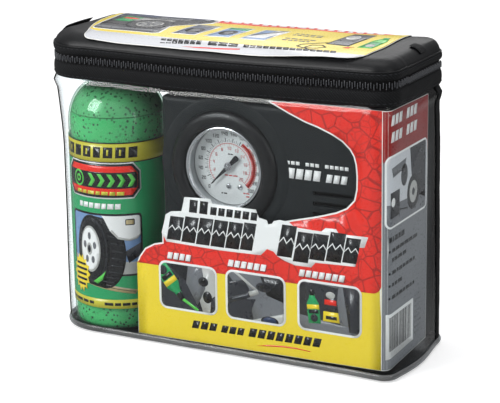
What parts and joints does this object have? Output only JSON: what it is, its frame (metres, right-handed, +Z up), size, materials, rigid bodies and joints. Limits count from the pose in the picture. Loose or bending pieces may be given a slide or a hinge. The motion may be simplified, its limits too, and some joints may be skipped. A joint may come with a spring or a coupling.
{
  "type": "portable tyre inflator kit",
  "caption": "Clear zip case with a fabric lid, holding a 12 V air compressor with a round pressure gauge, a sealant bottle and a printed insert card.",
  "frame": {"origin": "centre of the case's underside, on the ground", "axes": "+Z up, +X to the compressor's side, which is the viewer's right when facing the gauge, and -Y out of the front face that shows the gauge"},
  "size_m": [0.2528, 0.0886, 0.2005],
  "materials": {
    "clear_vinyl": "glossy clear sheet",
    "vinyl_welt": "glossy",
    "black_twill": "woven twill",
    "zip_nylon": "moulded nylon",
    "lid_vinyl": "satin coated cloth",
    "printed_card": "glossy print",
    "printed_sheet": "glossy print",
    "bottle_plastic": "translucent",
    "sealant_fluid": "wet",
    "label_film": "glossy print",
    "clear_hose": "clear",
    "black_gloss": "gloss",
    "charcoal_shell": "fine texture",
    "black_moulding": "satin",
    "silver_trim": "polished",
    "gauge_glass": "polished",
    "dial_white": "satin print",
    "brass": "satin",
    "steel": "machined",
    "alloy": "die cast",
    "nylon": "natural nylon",
    "ferrite": "ferrite",
    "winding": "enamelled wire",
    "rubber": "matt",
    "needle_black": "satin",
    "red_rocker": "satin",
    "zip_metal": "nickel plated"
  },
  "bodies": {
    "case": {"clear_body": "clear_vinyl", "base_welt": "vinyl_welt", "collar_band": "black_twill", "lower_zip_tape": "black_twill", "lower_zip_coil": "zip_nylon", "hinge_strip": "black_twill", "insert_card": "printed_card", "bottle_body": "bottle_plastic", "sealant": "sealant_fluid", "bottle_label": "label_film", "filler_tube": "clear_hose", "front_shell": "charcoal_shell", "rear_shell": "charcoal_shell", "gauge_surround": "black_moulding", "gauge_bezel": "silver_trim", "gauge_lens": "gauge_glass", "gauge_case": "steel", "gauge_dial": "dial_white", "gauge_movement": "brass", "bourdon_tube": "brass", "gauge_stem": "brass", "air_tube": "nylon", "drive_bracket": "steel", "bearing_bushes": "brass", "pump_cylinder": "alloy", "cylinder_head": "alloy", "head_screws": "steel", "motor_can": "steel", "motor_magnets": "ferrite", "motor_end_cap": "black_moulding", "shell_screws": "steel", "rubber_feet": "rubber", "switch_frame": "black_moulding", "air_hose": "rubber", "hose_chuck": "black_moulding", "power_cord": "rubber", "plug_body": "black_moulding", "plug_contacts": "steel"},
    "lid": {"lid_top": "lid_vinyl", "lid_band": "black_twill", "upper_zip_tape": "black_twill", "upper_zip_coil": "zip_nylon", "top_card": "printed_sheet", "side_tabs": "black_twill"},
    "slider": {"zip_slider": "zip_metal"},
    "puller": {"zip_puller": "zip_metal"},
    "cap": {"bottle_cap": "black_gloss"},
    "needle": {"gauge_needle": "needle_black"},
    "sector": {"sector_gear": "brass"},
    "rotor": {"motor_rotor": "winding", "motor_pinion": "brass"},
    "crank": {"crank_shaft": "steel", "drive_gear": "nylon"},
    "piston_group": {"piston": "alloy", "wrist_pin": "steel"},
    "conrod": {"connecting_rod": "alloy", "crank_pin": "steel"},
    "rocker": {"switch_rocker": "red_rocker"},
    "lever": {"chuck_lever": "brass"},
    "tip": {"plug_tip": "brass"}
  },
  "joints": [
    {"name": "lid_hinge", "type": "hinge", "parent": "case", "child": "lid", "pos_m": [0, 0.0435, 0.184], "axis": [-1, 0, 0], "range_deg": [0, 105]},
    {"name": "zip_slide", "type": "slide", "parent": "case", "child": "slider", "axis": [0, -1, 0], "range_m": [0, 0.036]},
    {"name": "puller_swing", "type": "hinge", "parent": "slider", "child": "puller", "pos_m": [-0.127, 0.024, 0.184], "axis": [0, 0, -1], "range_deg": [0, 170]},
    {"name": "cap_turn", "type": "hinge", "parent": "case", "child": "cap", "pos_m": [-0.088, -0.009, 0.175], "axis": [0, 0, 1], "continuous": true},
    {"name": "sector_turn", "type": "hinge", "parent": "case", "child": "sector", "pos_m": [0.0065, -0.0227, 0.1035], "axis": [0, 1, 0], "range_deg": [-33.75, 0]},
    {"name": "needle_turn", "type": "hinge", "parent": "case", "child": "needle", "pos_m": [0.0065, -0.025, 0.1215], "axis": [0, 1, 0], "range_deg": [0, 270]},
    {"name": "crank_spin", "type": "hinge", "parent": "case", "child": "crank", "pos_m": [0.016, -0.022, 0.036], "axis": [0, 1, 0], "continuous": true},
    {"name": "rotor_spin", "type": "hinge", "parent": "case", "child": "rotor", "pos_m": [-0.0145, 0, 0.04568], "axis": [0, 1, 0], "continuous": true},
    {"name": "piston_slide", "type": "slide", "parent": "case", "child": "piston_group", "axis": [1, 0, 0], "range_m": [-0.012, 0]},
    {"name": "rod_swing", "type": "hinge", "parent": "piston_group", "child": "conrod", "pos_m": [0.056, -0.01, 0.036], "axis": [0, 1, 0], "range_deg": [-10, 10]},
    {"name": "switch_rock", "type": "hinge", "parent": "case", "child": "rocker", "pos_m": [0.08, -0.0145, 0.1632], "axis": [0, 1, 0], "range_deg": [0, 14]},
    {"name": "lever_lift", "type": "hinge", "parent": "case", "child": "lever", "pos_m": [0.066, 0.029, 0.1146], "axis": [0, -1, 0], "range_deg": [0, 80]},
    {"name": "tip_press", "type": "slide", "parent": "case", "child": "tip", "axis": [1, 0, 0], "range_m": [0, 0.0025]}
  ],
  "couplings": [
    {"joint": "needle_turn", "follows": "sector_turn", "ratio": -8},
    {"joint": "rotor_spin", "follows": "crank_spin", "ratio": -4.7143}
  ]
}
